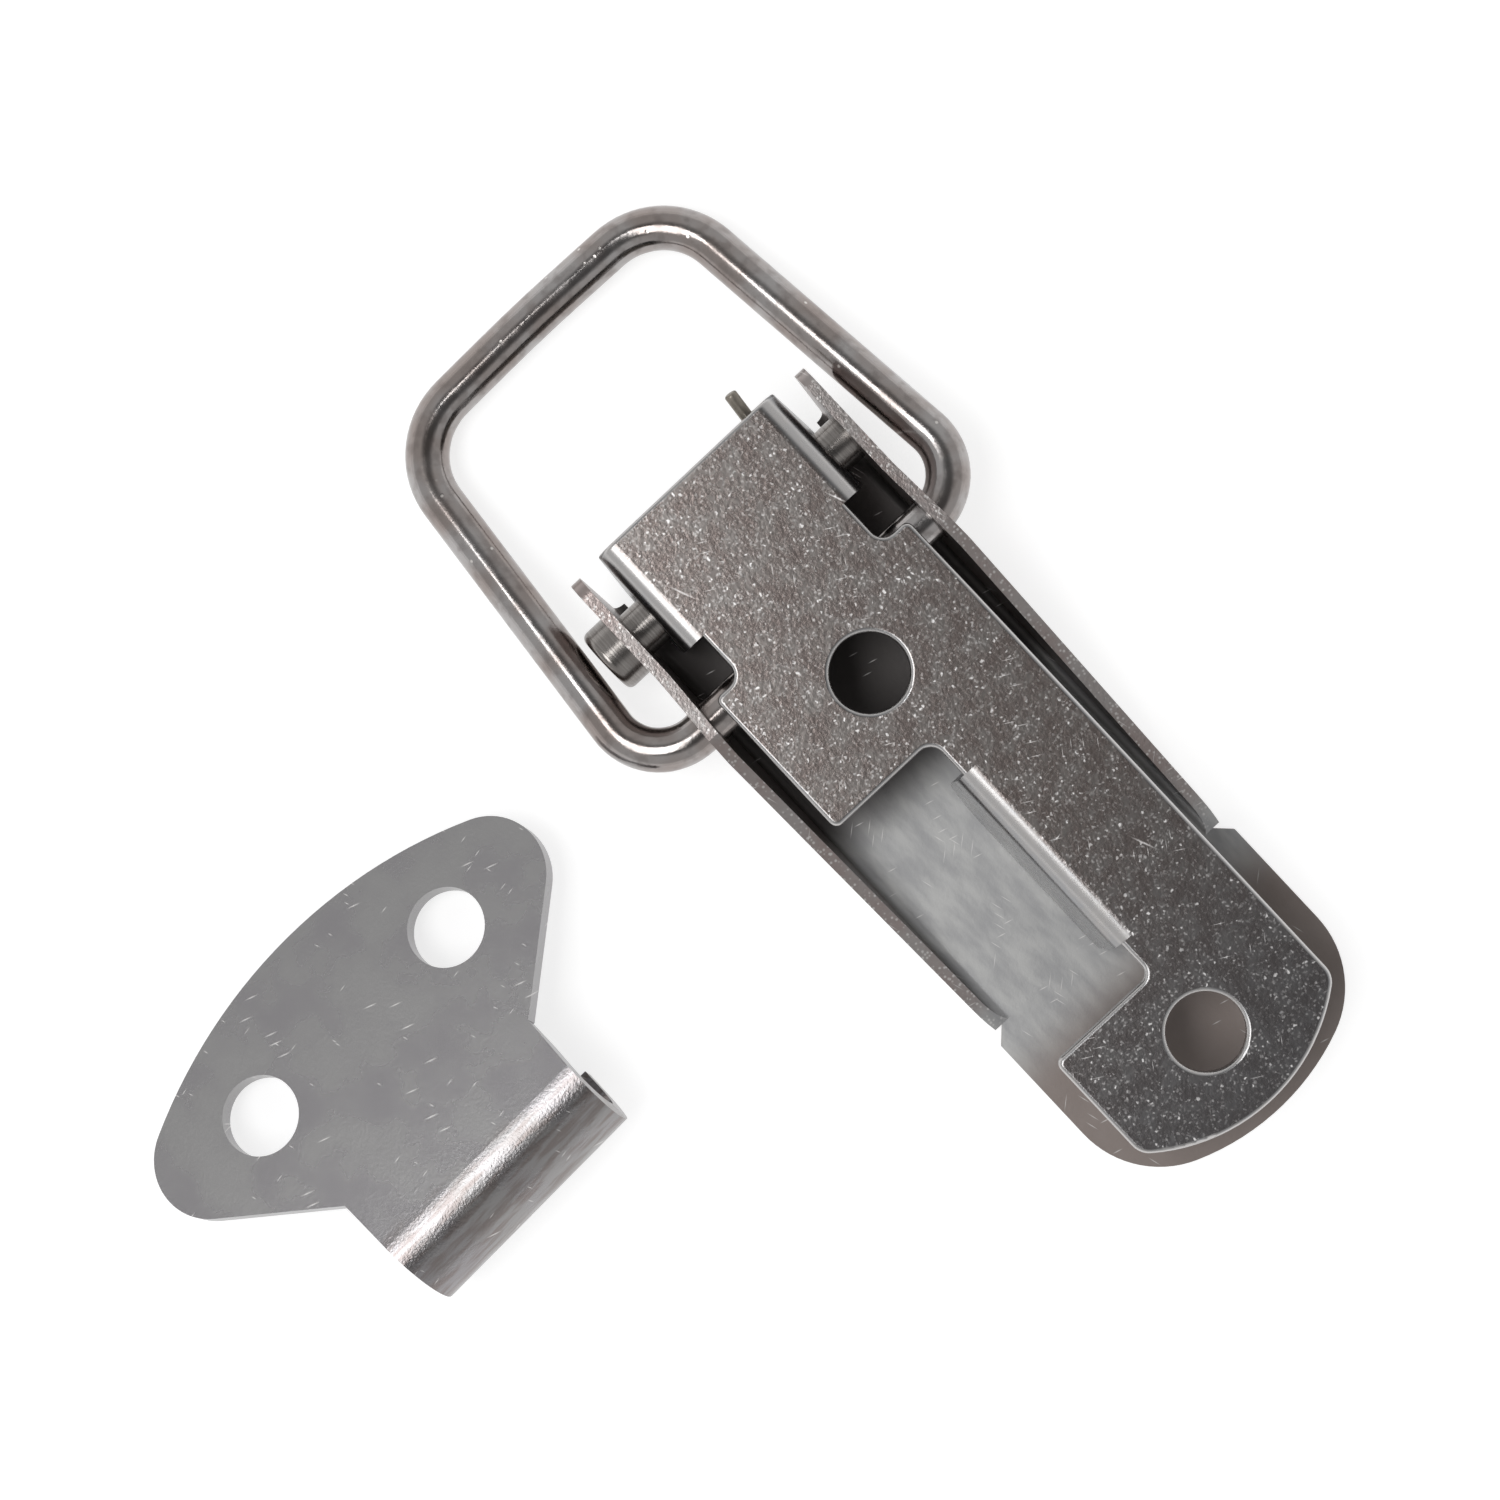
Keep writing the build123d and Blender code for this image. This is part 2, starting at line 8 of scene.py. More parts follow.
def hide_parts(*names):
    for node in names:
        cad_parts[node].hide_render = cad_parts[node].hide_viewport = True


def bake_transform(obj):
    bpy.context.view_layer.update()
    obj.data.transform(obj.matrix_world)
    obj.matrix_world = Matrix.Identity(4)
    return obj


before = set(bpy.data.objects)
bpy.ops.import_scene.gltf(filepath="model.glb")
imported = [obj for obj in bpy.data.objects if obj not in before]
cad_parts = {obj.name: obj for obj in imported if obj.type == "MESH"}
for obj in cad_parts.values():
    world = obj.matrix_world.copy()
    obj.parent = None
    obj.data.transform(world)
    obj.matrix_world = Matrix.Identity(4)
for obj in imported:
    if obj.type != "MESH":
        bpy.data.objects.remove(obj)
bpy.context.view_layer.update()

# Over centre toggle latch, lying on the back of its lever with its mounting face up, and its catch
# plate beside it. Metres, in the frame of the solids: X runs along the latch, Z out of its mounting face.


# ---- Base plate ----
# One piece of cold-rolled steel sheet, blanked, pierced and folded in a press, then nickel plated in a
# turning barrel among hundreds of others. The ears carry the rivet, the folded flap is the closed stop.


def paint(code):
    """Linear colour of an sRGB hex value: c / 12.92 up to 0.04045, ((c + 0.055) / 1.055) ** 2.4 above."""
    srgb = np.array([int(code[i:i + 2], 16) for i in (0, 2, 4)]) / 255
    linear = np.where(srgb <= 0.04045, srgb / 12.92, ((srgb + 0.055) / 1.055) ** 2.4)
    return (*linear, 1.0)


def add(tree, kind, sockets=None, **settings):
    """One node, of the type that kind names after ShaderNode. sockets gives inputs, by number or name, a
    value, a hex colour or the output that feeds them. What comes back is the node's outputs."""
    node = tree.nodes.new("ShaderNode" + kind)
    for name, value in settings.items():
        setattr(node, name, value)
    for socket, value in (sockets or {}).items():
        if isinstance(value, bpy.types.NodeSocket):
            tree.links.new(value, node.inputs[socket])
        else:
            node.inputs[socket].default_value = paint(value) if isinstance(value, str) else value
    return node.outputs


def new_metal(name):
    """Empty material, its node tree and the Object coordinates that its patterns are laid out on."""
    material = bpy.data.materials.new(name)
    material.use_nodes = True
    tree = material.node_tree
    tree.nodes.clear()
    return material, tree, add(tree, "TexCoord")["Object"]


def finish_metal(tree, **sockets):
    """Principled metal that ends the tree. The sockets are given with _ for a space."""
    inputs = {name.replace("_", " "): value for name, value in sockets.items()}
    shader = add(tree, "BsdfPrincipled", {"Metallic": 1.0, **inputs})
    add(tree, "OutputMaterial", {"Surface": shader[0]})


def wear(node, material):
    """Puts one material over every face of a node."""
    node.data.materials.clear()
    node.data.materials.append(material)


def marks(tree, cells, core, reach, strength, kept):
    """Marks in a share of the cells, kept: strength up to core of a cell from its point, and from there a
    smooth step down to 0 at reach."""
    near = {0: cells["Distance"], 1: core, 2: reach, 3: strength, 4: 0.0}
    near = add(tree, "MapRange", near, interpolation_type="SMOOTHSTEP")[0]
    chance = add(tree, "SeparateColor", {0: cells["Color"]})[0]
    some = add(tree, "Math", {0: chance, 1: kept}, operation="LESS_THAN")[0]
    return add(tree, "Math", {0: near, 1: some}, operation="MULTIPLY")[0]


def scratches(tree, place, *kinds):
    """Straight marks, 1 in the middle of one and 0 off it. Each kind is (heading, length, width, reach,
    kept): the surface is parted into cells, length metres at heading degrees and width metres across. The
    share kept of them has a mark, reach of its cell long to each side of its point."""
    total = 0.0
    for heading, length, width, reach, kept in kinds:
        turn = (0.0, 0.0, radians(heading))
        lay = {"Vector": place, "Rotation": turn, "Scale": (length, width, 1.0)}
        laid = add(tree, "Mapping", lay, vector_type="TEXTURE")[0]
        cells = add(tree, "TexVoronoi", {"Vector": laid, "Scale": 1.0}, voronoi_dimensions="2D")
        kind = marks(tree, cells, 0.0, reach, 1.0, kept)
        total = add(tree, "Math", {0: total, 1: kind}, operation="ADD", use_clamp=True)[0]
    return total


def glint_spots(tree, place, *kinds):
    """Round spots of painted glint, strength in the middle of one and 0 off it. Each kind is (cell, reach,
    kept, strength): cells are cell metres wide, and the share kept of them has a spot, reach of its cell
    from middle to rim."""
    total = 0.0
    for cell, reach, kept, strength in kinds:
        cells = add(tree, "TexVoronoi", {"Vector": place, "Scale": 1 / cell})
        kind = marks(tree, cells, 0.4 * reach, reach, strength, kept)
        total = add(tree, "Math", {0: total, 1: kind}, operation="ADD", use_clamp=True)[0]
    return total


# Barrel nickel on pressed sheet: a soft peel of hills 0.35 mm apart, patches 1.5 mm wide of two warm
# greys, cooler towards the tip, and the dent marks, ticks and few long scratches that the pieces give each
# other in the barrel. A dent's facet, 0.05 mm wide, is a painted glint, drawn 0.1 to 0.15 mm wide so that
# it shows.
# What is folded down is out of reach of the others and stays smooth.
PEEL_WIDTH = 0.00035
PATCH_WIDTH = 0.0015
SMOOTH_PATCH_WIDTH = 0.0011
RAG_WIDTH = 0.0003           # bends in a dent's outline
RAG_DEPTH = 0.0004
COOLER = (-0.004, 0.022)     # X between which the grey turns cooler

barrel_nickel, tree, place = new_metal("barrel_nickel_on_pressed_steel")
along, _, up = add(tree, "SeparateXYZ", {0: place})
peel = {"Vector": place, "Scale": 1 / PEEL_WIDTH, "Detail": 2.0, "Roughness": 0.6}
peel = add(tree, "TexNoise", peel)["Fac"]
patch = {"Vector": place, "Scale": 1 / PATCH_WIDTH, "Detail": 3.0, "Roughness": 0.6}
patch = add(tree, "TexNoise", patch)["Fac"]
smooth_patch = {"Vector": place, "Scale": 1 / SMOOTH_PATCH_WIDTH, "Detail": 2.0}
smooth_patch = add(tree, "TexNoise", smooth_patch)["Fac"]

# level is 1 on the face and 0 on what is folded down, and rim is 0.5 on the rolled rim of the face, which
# is lightened there as a painted highlight.
facing = add(tree, "TexCoord")["Normal"]
facing = add(tree, "SeparateXYZ", {0: facing})["Z"]
facing = add(tree, "Math", {0: facing}, operation="ABSOLUTE")[0]
level = add(tree, "MapRange", {0: facing, 1: 0.985, 2: 0.999}, interpolation_type="SMOOTHSTEP")[0]
off_face = {0: up, 1: -0.00007, 2: -0.00001, 3: 0.5, 4: 0.0}
off_face = add(tree, "MapRange", off_face, interpolation_type="SMOOTHSTEP")[0]
off_side = add(tree, "MapRange", {0: up, 1: -0.00055, 2: -0.0003}, interpolation_type="SMOOTHSTEP")[0]
rim = add(tree, "Math", {0: off_face, 1: off_side}, operation="MULTIPLY")[0]

ragged = add(tree, "TexNoise", {"Vector": place, "Scale": 1 / RAG_WIDTH, "Detail": 1.0})["Color"]
ragged = {0: ragged, 1: (RAG_DEPTH, RAG_DEPTH, RAG_DEPTH), 2: place}
ragged = add(tree, "VectorMath", ragged, operation="MULTIPLY_ADD")[0]
painted_glints = glint_spots(
    tree, ragged,
    (0.00036, 0.34, 0.22, 1.0),
    (0.00030, 0.40, 0.45, 0.45),
    (0.00026, 0.45, 0.5, 0.25),
)
painted_glints = add(tree, "Math", {0: painted_glints, 1: level}, operation="MULTIPLY")[0]
thick = add(tree, "MapRange", {0: patch, 1: 0.3, 2: 0.6, 3: 0.45}, interpolation_type="SMOOTHSTEP")[0]
painted_glints = add(tree, "Math", {0: painted_glints, 1: thick}, operation="MULTIPLY")[0]
ticks = scratches(
    tree, place,
    (60, 0.009, 0.0005, 0.07, 0.2),
    (-35, 0.007, 0.0005, 0.07, 0.2),
    (22, 0.040, 0.0030, 0.03, 0.5),
)
ticks = add(tree, "Math", {0: ticks, 1: level}, operation="MULTIPLY")[0]

mottle = add(tree, "MapRange", {0: patch, 1: 0.3, 2: 0.7}, interpolation_type="SMOOTHSTEP")[0]
tint = add(tree, "Mix", {0: mottle, 6: "908581", 7: "918C89"}, data_type="RGBA")[2]
cooler = {0: along, 1: COOLER[0], 2: COOLER[1], 4: 0.6}
cooler = add(tree, "MapRange", cooler, interpolation_type="SMOOTHSTEP")[0]
tint = add(tree, "Mix", {0: cooler, 6: tint, 7: "808185"}, data_type="RGBA")[2]
folded = add(tree, "Mix", {0: smooth_patch, 6: "8E9195", 7: "A39F9C"}, data_type="RGBA")[2]
tint = add(tree, "Mix", {0: level, 6: folded, 7: tint}, data_type="RGBA")[2]
# Painted highlight: the rolled rim of the face is lightened towards DAD7D5.
tint = add(tree, "Mix", {0: rim, 6: tint, 7: "DAD7D5"}, data_type="RGBA")[2]
# Painted glint: the dent facets are painted nearly white towards F4F2F1, together with the lighter
# scratches.
glint = add(tree, "Math", {0: painted_glints, 1: 0.95}, operation="MULTIPLY")[0]
glint = add(tree, "Math", {0: ticks, 1: 0.7, 2: glint}, operation="MULTIPLY_ADD", use_clamp=True)[0]
tint = add(tree, "Mix", {0: glint, 6: tint, 7: "F4F2F1"}, data_type="RGBA")[2]
dull = {0: patch, 1: 0.3, 2: 0.7, 3: 0.25, 4: 0.29}
dull = add(tree, "MapRange", dull, interpolation_type="SMOOTHSTEP")[0]
dull = add(tree, "Math", {0: painted_glints, 1: 0.15, 2: dull}, operation="MULTIPLY_ADD")[0]
dull = add(tree, "Math", {0: ticks, 1: 0.2, 2: dull}, operation="MULTIPLY_ADD")[0]
rough_peel = add(tree, "MapRange", {0: level, 3: 0.1}, interpolation_type="SMOOTHSTEP")[0]
relief = add(tree, "Bump", {"Height": peel, "Strength": rough_peel, "Distance": 0.000016})[0]
finish_metal(tree, Base_Color=tint, Roughness=dull, Normal=relief)
wear(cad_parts["base_plate"], barrel_nickel)


# ---- Lever spring ----
# Torsion spring of hard drawn wire on the rivet, between the ears. Its front leg stands out under the
# front edge of the base plate, and its rear leg presses up under the end of the wire bail.

PIVOT = (-0.02845, -0.0054)      # X and Z of the rivet's axis
PLATE_EDGE = (-0.0053, 0.0044)   # under edge of the base plate's front, from the axis
BAIL_AXIS = (0.0077, 0.0020)     # axis of the bail's ends, from the rivet's
BAIL_R = 0.0015
SPRING_R = 0.00045
COIL_R = 0.00235
SPRING_TURNS = 7
SPRING_TOUCH = 0.00005           # wire to what a leg presses on
HALF_SPAN = 0.0056               # Y where the front leg touches the plate, and the other leg -Y
FRONT_PAST = 0.0018              # how far the front leg goes on past the plate's edge
REAR_PAST = 0.0012               # and the rear leg past the bail's end
CUT_ROUND = 0.00016              # length of the rounding where the wire is cut
CUT_LEFT = 0.72                  # share of its radius that the rounding leaves
WIRE_SIDES = 16
COIL_RINGS, LEG_RINGS = 340, 10
NEAR_CUT = 0.0008                # the leg's even rings start this far from where the wire is cut
NEAR_COIL = 0.0002               # and stop this far from the coil

off_edge = SPRING_R + SPRING_TOUCH
off_bail = off_edge + BAIL_R
edge_way, bail_way = np.hypot(*PLATE_EDGE), np.hypot(*BAIL_AXIS)
start = np.arctan2(PLATE_EDGE[1], PLATE_EDGE[0]) + np.arcsin((COIL_R + off_edge) / edge_way) - pi / 2
finish = np.arctan2(BAIL_AXIS[1], BAIL_AXIS[0]) - np.arcsin((COIL_R + off_bail) / bail_way) + pi / 2
to_edge = np.sqrt(edge_way**2 - (COIL_R + off_edge) ** 2)
to_bail = np.sqrt(bail_way**2 - (COIL_R + off_bail) ** 2)
around = COIL_R * (2 * pi * SPRING_TURNS + start - finish)


def spring_line(run):
    """Middle of the wire at each run along it: a tangent leg, then the coil, then a tangent leg, all
    seen along the rivet, while the wire crosses evenly from the front leg's side to the other."""
    wound = np.clip(run, 0, around)
    angle = start - wound / COIL_R
    spare = run - wound
    x = PIVOT[0] + COIL_R * np.cos(angle) + spare * np.sin(angle)
    z = PIVOT[1] + COIL_R * np.sin(angle) - spare * np.cos(angle)
    y = HALF_SPAN - 2 * HALF_SPAN * (run + to_edge) / (to_edge + around + to_bail)
    return np.stack([x, y, z], axis=-1)


def tube(name, middle, radius, sides):
    """Skin of a wire along the points of its middle, its radius given at each: a ring of sides points
    round each, spoke = cos(turn) * first + sin(turn) * second, closed by a fan at each end. A ring's first
    spoke is square to the wire and to Y. UV: turns round the wire, and length along it."""
    ahead = np.gradient(middle, axis=0)
    ahead /= np.linalg.norm(ahead, axis=1, keepdims=True)
    spoke = np.cross(ahead, (0.0, 1.0, 0.0))
    spoke /= np.linalg.norm(spoke, axis=1, keepdims=True)
    other = np.cross(ahead, spoke)
    turn = np.linspace(0, 2 * pi, sides, endpoint=False)
    out = spoke[:, None] * np.cos(turn)[:, None] + other[:, None] * np.sin(turn)[:, None]
    points = middle[:, None] + radius[:, None, None] * out
    rings = len(middle)
    i, j = np.meshgrid(np.arange(rings - 1), np.arange(sides), indexing="ij")
    k = (j + 1) % sides
    quads = np.stack([i, i, i + 1, i + 1], -1) * sides + np.stack([j, k, k, j], -1)
    verts = np.concatenate([points.reshape(-1, 3), middle[:1], middle[-1:]])
    first, last, tail = rings * sides, rings * sides + 1, (rings - 1) * sides
    side, following = np.arange(sides), (np.arange(sides) + 1) % sides
    cap_a = np.stack([np.full(sides, first), following, side], -1)
    cap_b = np.stack([np.full(sides, last), tail + side, tail + following], -1)
    mesh = bpy.data.meshes.new(name)
    faces = quads.reshape(-1, 4).tolist() + cap_a.tolist() + cap_b.tolist()
    mesh.from_pydata(verts.tolist(), [], faces)
    mesh.polygons.foreach_set("use_smooth", np.ones(len(mesh.polygons), bool))
    length = np.concatenate([[0], np.cumsum(np.linalg.norm(np.diff(middle, axis=0), axis=1))])
    turns_uv = np.stack([j, j + 1, j + 1, j], -1) / sides
    length_uv = length[np.stack([i, i, i + 1, i + 1], -1)]
    caps_uv = np.zeros((2 * 3 * sides, 2))
    all_uv = np.concatenate([np.stack([turns_uv, length_uv], -1).reshape(-1, 2), caps_uv])
    mesh.uv_layers.new(name="wire").data.foreach_set("uv", all_uv.ravel().astype(np.float32))
    mesh.validate()
    piece = bpy.data.objects.new(name, mesh)
    bpy.context.scene.collection.objects.link(piece)
    return piece


front_end, rear_end = -(to_edge + FRONT_PAST), around + to_bail + REAR_PAST
cut_steps = CUT_ROUND * np.array([0, 0.125, 0.5, 1.0, 1.875])
run = np.concatenate([
    front_end + cut_steps,
    np.linspace(front_end + NEAR_CUT, -NEAR_COIL, LEG_RINGS),
    np.linspace(0, around, COIL_RINGS),
    np.linspace(around + NEAR_COIL, rear_end - NEAR_CUT, LEG_RINGS),
    rear_end - cut_steps[::-1],
])
reach = np.minimum(run - front_end, rear_end - run)
rounding = np.sqrt(1 - (1 - np.clip(reach / CUT_ROUND, 0, 1)) ** 2)
wire_r = SPRING_R * (CUT_LEFT + (1 - CUT_LEFT) * rounding)
spring = tube("lever_spring_wire", spring_line(run), wire_r, WIRE_SIDES)

# Hard drawn steel wire, oiled and dull: long draw lines 0.05 mm wide, 28 waves round the wire and 300 in
# a metre along it, and a brown tinge in spots 0.6 mm wide.
drawn_wire, tree, place = new_metal("hard_drawn_spring_wire")
lay = add(tree, "UVMap", uv_map="wire")[0]
lay = add(tree, "Mapping", {"Vector": lay, "Scale": (28.0, 300.0, 1.0)})[0]
lines = add(tree, "TexNoise", {"Vector": lay, "Scale": 1.0, "Detail": 3.0})["Fac"]
spots = add(tree, "TexNoise", {"Vector": place, "Scale": 1 / 0.0006, "Detail": 2.0})["Fac"]
tint = add(tree, "Mix", {0: spots, 6: "6F6A62", 7: "A39C92"}, data_type="RGBA")[2]
relief = add(tree, "Bump", {"Height": lines, "Strength": 1.0, "Distance": 0.00001})[0]
finish_metal(tree, Base_Color=tint, Roughness=0.38, Normal=relief)
wear(spring, drawn_wire)
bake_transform(spring)
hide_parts("lever_spring")


# ---- Lever ----
# Channel of thinner sheet, blanked and folded like the base plate and plated with it. Its free edges
# keep the torn grain of the shear, and its flat tip is what the finger lifts.

WALL_LEVEL_X = -0.01995      # the walls' edges are level up to here
WALL_END_X = 0.00745         # and fall evenly to here
WALL_DROP = 0.0005           # face of the base plate down to the level edges
WALL_FALL = 0.3102           # how much they fall for each metre along
INNER_Z = -0.0090            # inner face of the channel's floor
PAINTED_SHADE_FADE = (-0.0108, -0.0064)    # X between which the painted shade at the floor's front fades out
PALE_TO_BROWN = (0.0085, 0.0130)     # X between which the floor turns brown

# Barrel nickel on thin sheet: the outside is a soft satin with a fine peel. The media of the barrel
# never reached the floor of the channel, which stays matt and pale, with soft streaks 1 mm wide along it.
# Its closed front end, under the base plate, is darkened with painted shade, and its open end is a little
# brown. The sheared edges of the walls are torn, and their grain is painted as bright glints 0.1 mm wide,
# drawn 0.2 mm wide so that they show.
pressed_nickel, tree, place = new_metal("barrel_nickel_on_thin_sheet")
along, _, up = add(tree, "SeparateXYZ", {0: place})
peel = {"Vector": place, "Scale": 1 / 0.00026, "Detail": 2.0, "Roughness": 0.6}
peel = add(tree, "TexNoise", peel)["Fac"]
patch = {"Vector": place, "Scale": 1 / 0.003, "Detail": 3.0, "Roughness": 0.6}
patch = add(tree, "TexNoise", patch)["Fac"]
streaks = {"Vector": place, "Scale": (0.0030, 0.0011, 0.001)}
streaks = add(tree, "Mapping", streaks, vector_type="TEXTURE")[0]
streaks = add(tree, "TexNoise", {"Vector": streaks, "Scale": 1.0, "Detail": 3.0})["Fac"]
ticks = scratches(
    tree, place,
    (15, 0.006, 0.0004, 0.10, 0.25),
    (-50, 0.008, 0.0004, 0.09, 0.2),
    (75, 0.005, 0.0006, 0.09, 0.3),
)

# inside is 1 on the inner face of the floor, and torn is 1 on the walls' free edges.
above_back = {0: up, 1: INNER_Z - 0.0004, 2: INNER_Z - 0.0001}
above_back = add(tree, "MapRange", above_back, interpolation_type="SMOOTHSTEP")[0]
near_floor = {0: up, 1: INNER_Z + 0.0002, 2: INNER_Z + 0.0010, 3: 1.0, 4: 0.0}
near_floor = add(tree, "MapRange", near_floor, interpolation_type="SMOOTHSTEP")[0]
inside = add(tree, "Math", {0: above_back, 1: near_floor}, operation="MULTIPLY")[0]
fallen = add(tree, "Math", {0: along, 1: WALL_LEVEL_X}, operation="SUBTRACT")[0]
fallen = add(tree, "Math", {0: fallen, 1: WALL_FALL}, operation="MULTIPLY")[0]
fallen = add(tree, "Math", {0: fallen, 1: 0.0}, operation="MAXIMUM")[0]
torn = add(tree, "Math", {0: up, 1: fallen}, operation="ADD")[0]
torn = {0: torn, 1: -WALL_DROP - 0.00012, 2: -WALL_DROP - 0.00004}
torn = add(tree, "MapRange", torn, interpolation_type="SMOOTHSTEP")[0]
walled = {0: along, 1: WALL_END_X - 0.0005, 2: WALL_END_X, 3: 1.0, 4: 0.0}
walled = add(tree, "MapRange", walled, interpolation_type="SMOOTHSTEP")[0]
torn = add(tree, "Math", {0: torn, 1: walled}, operation="MULTIPLY")[0]

mottle = add(tree, "MapRange", {0: patch, 1: 0.3, 2: 0.7}, interpolation_type="SMOOTHSTEP")[0]
tint = add(tree, "Mix", {0: mottle, 6: "9B8F8C", 7: "A29D9B"}, data_type="RGBA")[2]
mottle = add(tree, "MapRange", {0: streaks, 1: 0.3, 2: 0.7}, interpolation_type="SMOOTHSTEP")[0]
floor = add(tree, "Mix", {0: mottle, 6: "A9A9AA", 7: "BEBEBD"}, data_type="RGBA")[2]
# Painted shade: the front of the channel's floor, under the base plate, is darkened towards 565352.
past_painted_shade = {0: along, 1: PAINTED_SHADE_FADE[0], 2: PAINTED_SHADE_FADE[1]}
past_painted_shade = add(tree, "MapRange", past_painted_shade, interpolation_type="SMOOTHSTEP")[0]
floor = add(tree, "Mix", {0: past_painted_shade, 6: "565352", 7: floor}, data_type="RGBA")[2]
browned = {0: along, 1: PALE_TO_BROWN[0], 2: PALE_TO_BROWN[1]}
browned = add(tree, "MapRange", browned, interpolation_type="SMOOTHSTEP")[0]
brown = add(tree, "Mix", {0: patch, 6: "8C827D", 7: "9A918D"}, data_type="RGBA")[2]
floor = add(tree, "Mix", {0: browned, 6: floor, 7: brown}, data_type="RGBA")[2]
tint = add(tree, "Mix", {0: inside, 6: tint, 7: floor}, data_type="RGBA")[2]
# Painted glint: the torn grain of the walls' free edges is painted bright towards E4E2E0, together with
# the lighter scratches.
grain_glints = glint_spots(tree, place, (0.00026, 0.5, 0.5, 0.6))
grain_glints = add(tree, "Math", {0: grain_glints, 1: torn}, operation="MULTIPLY")[0]
bright = add(tree, "Math", {0: ticks, 1: 0.8, 2: grain_glints}, operation="MULTIPLY_ADD", use_clamp=True)[0]
tint = add(tree, "Mix", {0: bright, 6: tint, 7: "E4E2E0"}, data_type="RGBA")[2]
dull = add(tree, "MapRange", {0: inside, 3: 0.33, 4: 0.5}, interpolation_type="SMOOTHSTEP")[0]
height = add(tree, "Math", {0: streaks, 1: 0.5, 2: peel}, operation="MULTIPLY_ADD")[0]
rough_edge = add(tree, "MapRange", {0: torn, 3: 0.3}, interpolation_type="SMOOTHSTEP")[0]
relief = add(tree, "Bump", {"Height": height, "Strength": rough_edge, "Distance": 0.00002})[0]
finish_metal(tree, Base_Color=tint, Roughness=dull, Normal=relief)
wear(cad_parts["lever"], pressed_nickel)


# ---- Pivot rivet ----
# One steel rivet through both walls and both ears, its shank turned and its head formed by the rivet
# machine outside one wall.

# Turned steel: rings 0.1 mm wide round the rivet's axis, from the lathe, which glint in turn.
turned_rivet, tree, place = new_metal("turned_steel_rivet")
rings = add(tree, "Mapping", {"Vector": place, "Scale": (300.0, 9000.0, 300.0)})[0]
rings = add(tree, "TexNoise", {"Vector": rings, "Scale": 1.0, "Detail": 2.0})["Fac"]
tint = add(tree, "Mix", {0: rings, 6: "67625E", 7: "A8A4A1"}, data_type="RGBA")[2]
relief = add(tree, "Bump", {"Height": rings, "Strength": 0.5, "Distance": 0.00001})[0]
finish_metal(tree, Base_Color=tint, Roughness=0.24, Normal=relief)
wear(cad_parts["pivot_rivet"], turned_rivet)


# ---- Wire bail ----
# Bright drawn steel wire, bent into a loop on a former and plated. Its ends turn in through the walls.

# Bright nickel on drawn wire: mirror-like, with clouds of brown and bluish grey 4 mm wide, a faint peel
# and small nicks, 0.1 to 0.3 mm wide, where pieces knocked together.
bright_wire, tree, place = new_metal("bright_nickel_on_drawn_wire")
peel = {"Vector": place, "Scale": 1 / 0.0005, "Detail": 3.0, "Roughness": 0.65}
peel = add(tree, "TexNoise", peel)["Fac"]
clouds = add(tree, "TexNoise", {"Vector": place, "Scale": 1 / 0.004, "Detail": 2.0})["Fac"]
stains = add(tree, "TexNoise", {"Vector": place, "Scale": 1 / 0.0009, "Detail": 2.0})["Fac"]
cells = add(tree, "TexVoronoi", {"Vector": place, "Scale": 1 / 0.0012})
chance = add(tree, "SeparateColor", {0: cells["Color"]})[0]
some = {0: chance, 1: 0.3, 2: 0.36, 3: 1.0, 4: 0.0}
some = add(tree, "MapRange", some, interpolation_type="SMOOTHSTEP")[0]
nicks = {0: cells["Distance"], 1: 0.04, 2: 0.14, 3: 1.0, 4: 0.0}
nicks = add(tree, "MapRange", nicks, interpolation_type="SMOOTHSTEP")[0]
nicks = add(tree, "Math", {0: nicks, 1: some}, operation="MULTIPLY")[0]
mottle = add(tree, "MapRange", {0: clouds, 1: 0.35, 2: 0.65}, interpolation_type="SMOOTHSTEP")[0]
tint = add(tree, "Mix", {0: mottle, 6: "948B87", 7: "A8A5A4"}, data_type="RGBA")[2]
stained = {0: stains, 1: 0.45, 2: 0.75, 4: 0.45}
stained = add(tree, "MapRange", stained, interpolation_type="SMOOTHSTEP")[0]
tint = add(tree, "Mix", {0: stained, 6: tint, 7: "746C69"}, data_type="RGBA")[2]
tint = add(tree, "Mix", {0: nicks, 6: tint, 7: "DAD6D2"}, data_type="RGBA")[2]
dull = {0: stains, 1: 0.35, 2: 0.7, 3: 0.13, 4: 0.21}
dull = add(tree, "MapRange", dull, interpolation_type="SMOOTHSTEP")[0]
dull = add(tree, "Math", {0: nicks, 1: 0.2, 2: dull}, operation="MULTIPLY_ADD")[0]
height = add(tree, "Math", {0: nicks, 1: -1.5, 2: peel}, operation="MULTIPLY_ADD")[0]
relief = add(tree, "Bump", {"Height": height, "Strength": 0.8, "Distance": 0.00001})[0]
finish_metal(tree, Base_Color=tint, Roughness=dull, Normal=relief)
wear(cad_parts["wire_bail"], bright_wire)


# ---- Catch plate ----
# Separate pressed plate with a curled hook, which the bail pulls on. It is smoother than the latch:
# an even satin with a few short scratches.

CURL_X = -0.0104             # where the curl of the hook starts
CURL_HEADING = 2.3           # degrees from Y to the run of the curl

